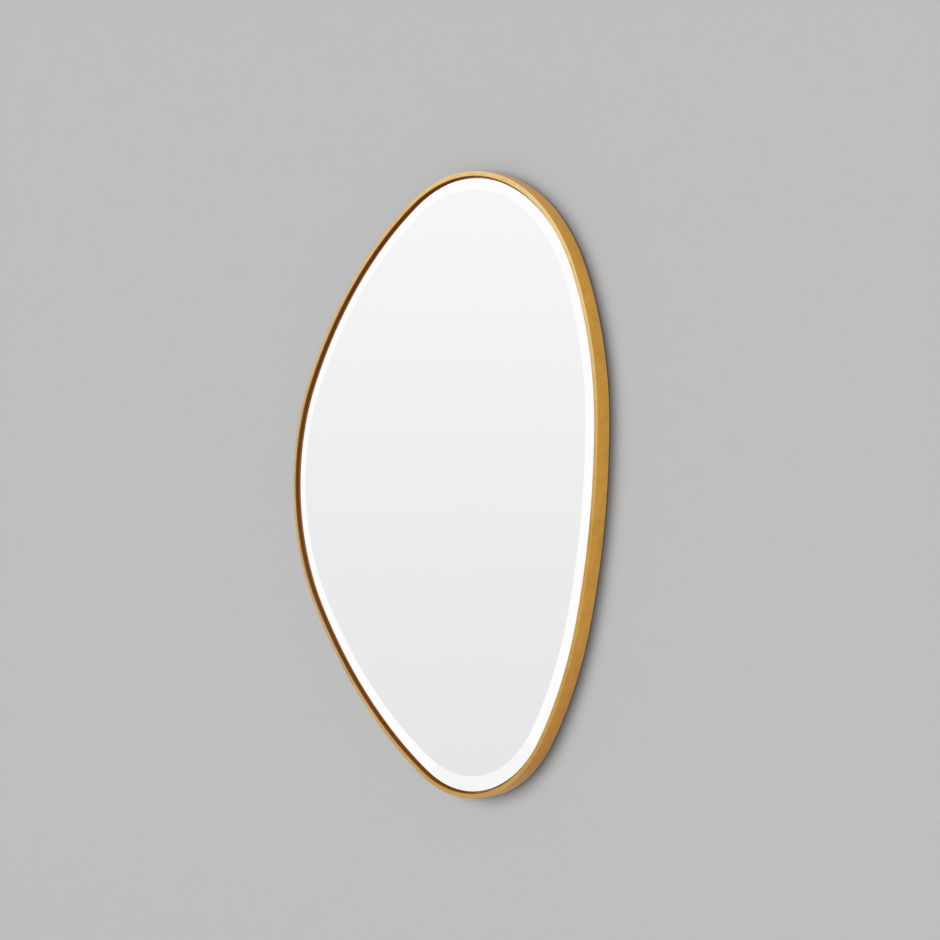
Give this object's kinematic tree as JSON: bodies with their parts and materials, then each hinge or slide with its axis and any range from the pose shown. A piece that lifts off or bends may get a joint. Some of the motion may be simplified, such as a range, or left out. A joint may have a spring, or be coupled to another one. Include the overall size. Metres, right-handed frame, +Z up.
{
  "type": "wall mirror",
  "caption": "Irregular pebble-shaped wall mirror: bevelled glass in a deep gold metal band, with swinging D-rings on the back for wall hooks.",
  "frame": {"origin": "middle of the outline's height and width, on the wall plane that the rubber bumpers touch", "axes": "+X to the right and +Z up for someone who faces the glass; the glass faces -Y and +Y points into the wall"},
  "size_m": [0.6854, 0.0235, 0.8487],
  "materials": {
    "gold_band": "satin gold leaf, lightly brushed",
    "lug_steel": "black primer",
    "mirror": "polished",
    "mirror_paint": "matt grey paint",
    "foam_tape": "matt",
    "black_board": "matt black paint on fibreboard",
    "zinc_screw": "bright zinc plate",
    "nickel_strap": "nickel plate",
    "nickel_wire": "nickel plate",
    "black_rubber": "matt"
  },
  "bodies": {
    "mirror": {"frame_band": "gold_band", "fixing_lug_1": "lug_steel", "fixing_lug_2": "lug_steel", "fixing_lug_3": "lug_steel", "fixing_lug_4": "lug_steel", "fixing_lug_5": "lug_steel", "fixing_lug_6": "lug_steel", "mirror_glass": "mirror", "mirror_coating": "mirror_paint", "tape_strip_1": "foam_tape", "tape_strip_2": "foam_tape", "tape_strip_3": "foam_tape", "tape_strip_4": "foam_tape", "backing_board": "black_board", "lug_screws": "zinc_screw", "left_hanger_strap": "nickel_strap", "right_hanger_strap": "nickel_strap", "hanger_screws": "zinc_screw", "bumper_1": "black_rubber", "bumper_2": "black_rubber", "bumper_3": "black_rubber", "bumper_4": "black_rubber"},
    "left_ring": {"left_d_ring": "nickel_wire"},
    "right_ring": {"right_d_ring": "nickel_wire"}
  },
  "joints": [
    {"name": "left_ring_swing", "type": "hinge", "parent": "mirror", "child": "left_ring", "pos_m": [-0.17909, -0.00615, 0.185], "axis": [1, 0, 0], "range_deg": [0, 180]},
    {"name": "right_ring_swing", "type": "hinge", "parent": "mirror", "child": "right_ring", "pos_m": [0.22091, -0.00615, 0.185], "axis": [1, 0, 0], "range_deg": [0, 180]}
  ]
}
